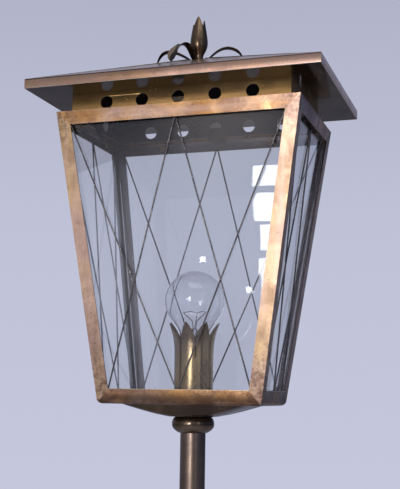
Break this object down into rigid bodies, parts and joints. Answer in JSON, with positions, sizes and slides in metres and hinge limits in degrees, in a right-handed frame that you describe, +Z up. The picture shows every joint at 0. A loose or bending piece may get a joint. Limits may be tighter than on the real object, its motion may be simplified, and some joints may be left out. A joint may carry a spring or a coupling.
{
  "type": "floor lamp",
  "caption": "Slim brass floor lamp carrying an oblong glazed lantern with a lift-off hipped roof, a tulip-shaped candle sleeve and a screw-in bulb.",
  "frame": {"origin": "on the floor, under the middle of the pole, at the bottom of the base's feet", "axes": "+Z up along the pole, the lantern's wide front face towards -Y, +X to the right seen from the front"},
  "size_m": [0.3, 0.3015, 1.6138],
  "materials": {
    "base_brass": "aged brown brass",
    "foot_rubber": "dull black rubber",
    "steel": "zinc-plated steel",
    "iron": "rough cast iron",
    "frame_brass": "coppery-tan aged brass",
    "plated_cap": "bright pressed brass",
    "filament": "dark drawn wire",
    "bulb_glass": "thin clear bulb glass",
    "black_glass": "black vitrified glass",
    "inlet_plastic": "dark brown plastic",
    "dark_brass": "blackened brass with bright wear",
    "pane_glass": "clear window glass with soft waves",
    "holder_plastic": "black moulded plastic",
    "porcelain": "white glazed porcelain",
    "wire_brass": "darkened drawn wire",
    "pole_brass": "dark bronze-brown aged brass",
    "roof_brass": "coppery aged brass sheet",
    "sleeve_brass": "aged olive-brown brass",
    "collar_brass": "yellow-olive aged brass"
  },
  "bodies": {
    "lamp": {"base_cover": "base_brass", "base_feet": "foot_rubber", "base_nipple": "steel", "base_nut": "steel", "base_washer": "steel", "base_weight": "iron", "bottom_rail_back": "frame_brass", "bottom_rail_front": "frame_brass", "bottom_rail_left": "frame_brass", "bottom_rail_right": "frame_brass", "cord_inlet": "inlet_plastic", "corner_post_back_left": "frame_brass", "corner_post_back_right": "frame_brass", "corner_post_front_left": "frame_brass", "corner_post_front_right": "frame_brass", "glass_back": "pane_glass", "glass_clips": "frame_brass", "glass_front": "pane_glass", "glass_left": "pane_glass", "glass_right": "pane_glass", "lampholder_cap": "holder_plastic", "lampholder_centre_contact": "plated_cap", "lampholder_insert": "porcelain", "lampholder_screw_shell": "plated_cap", "lampholder_shell": "holder_plastic", "lampholder_terminals": "plated_cap", "lantern_pan": "frame_brass", "lattice_back": "wire_brass", "lattice_front": "wire_brass", "lattice_left": "wire_brass", "lattice_right": "wire_brass", "pole_bottom_plug": "pole_brass", "pole_coupling": "pole_brass", "pole_foot_collar": "pole_brass", "pole_top_plug": "pole_brass", "pole_tube": "pole_brass", "top_nipple": "steel", "top_rail_back": "frame_brass", "top_rail_front": "frame_brass", "top_rail_left": "frame_brass", "top_rail_right": "frame_brass", "tulip_sleeve": "sleeve_brass"},
    "roof": {"finial_bud": "dark_brass", "finial_leaves": "dark_brass", "finial_nut": "steel", "finial_stud": "steel", "finial_washer": "steel", "roof_cover": "roof_brass", "roof_locating_tabs": "roof_brass", "roof_soffit": "roof_brass", "vent_collar_back": "collar_brass", "vent_collar_front": "collar_brass", "vent_collar_left": "collar_brass", "vent_collar_right": "collar_brass"},
    "bulb_tip": {"bulb_tip_contact": "plated_cap"},
    "bulb": {"bulb_glass": "bulb_glass", "bulb_cap": "plated_cap", "bulb_insulator": "black_glass", "bulb_stem": "bulb_glass", "bulb_filament": "filament"}
  },
  "joints": [
    {"name": "roof_lift", "type": "slide", "parent": "lamp", "child": "roof", "axis": [0, 0, 1], "range_m": [0, 0.15]},
    {"name": "bulb_rise", "type": "slide", "parent": "lamp", "child": "bulb_tip", "axis": [0, 0, 1], "range_m": [0, 0.01815]},
    {"name": "bulb_turn", "type": "hinge", "parent": "bulb_tip", "child": "bulb", "pos_m": [0, 0, 1.3151], "axis": [0, 0, 1], "range_deg": [0, 1802]}
  ],
  "couplings": [
    {"joint": "bulb_turn", "follows": "bulb_rise", "rad_per_m": 1731.4}
  ]
}
